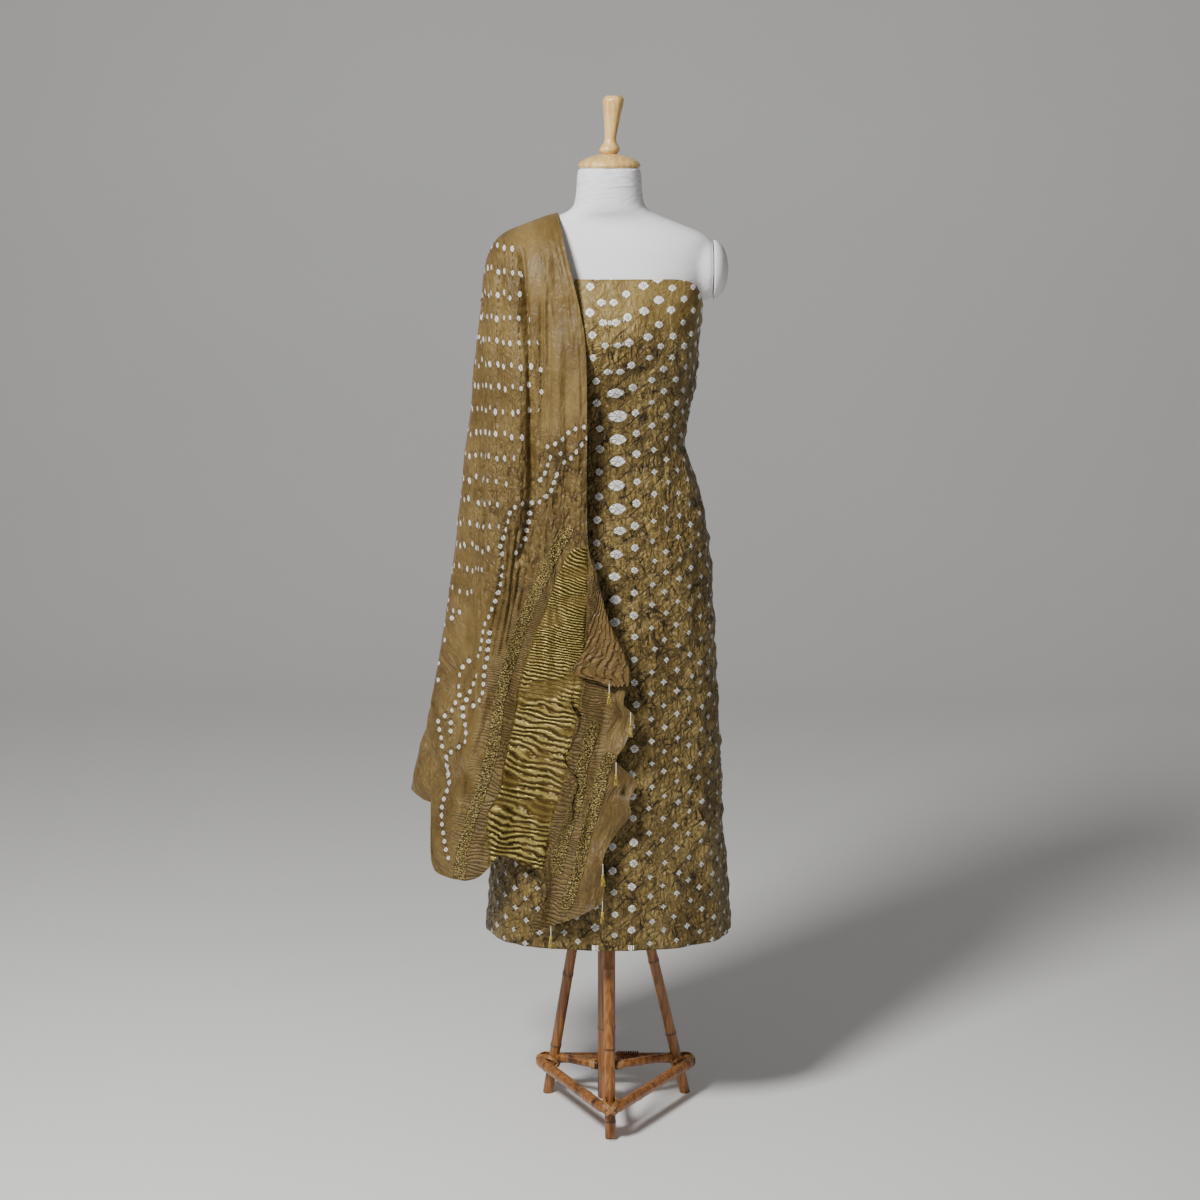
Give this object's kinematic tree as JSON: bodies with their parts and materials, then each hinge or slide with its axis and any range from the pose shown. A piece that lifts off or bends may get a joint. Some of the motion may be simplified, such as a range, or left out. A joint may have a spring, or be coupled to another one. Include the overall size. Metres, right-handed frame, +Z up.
{
  "type": "bandhani cloth wrap and dupatta on a dress form",
  "caption": "Two tie-dyed bandhani cloths, a dress-length wrap and a shawl with a gold woven end, draped on a cane-legged dress form.",
  "frame": {"origin": "on the floor, under the middle of the whole outfit's box", "axes": "+Z up, the front of the outfit faces -Y, the viewer's right is +X"},
  "size_m": [0.5602, 0.3582, 1.7701],
  "materials": {
    "wrap_cloth": "olive-gold crinkled silk with white tied dots",
    "dupatta_cloth": "tan-olive silk, white tied dots, gold woven end",
    "tassel_thread": "gold and white thread",
    "form_cover": "off-white stretched cotton",
    "turned_wood": "clear-varnished light maple",
    "cane": "brown varnished cane with dark joints",
    "foot_pad": "pale pad"
  },
  "bodies": {
    "root": {"form_torso": "form_cover", "arm_stub_left": "form_cover", "arm_stub_right": "form_cover", "wrap_cloth": "wrap_cloth", "dupatta_cloth": "dupatta_cloth", "tassel_1": "tassel_thread", "tassel_2": "tassel_thread", "tassel_3": "tassel_thread", "tassel_4": "tassel_thread", "tassel_5": "tassel_thread", "tassel_6": "tassel_thread", "neck_cap": "turned_wood", "finial": "turned_wood", "pole": "cane", "leg_front": "cane", "spoke_front": "cane", "leg_left": "cane", "spoke_left": "cane", "leg_right": "cane", "spoke_right": "cane", "cane_ring": "cane", "foot_pad": "foot_pad"}
  },
  "joints": []
}
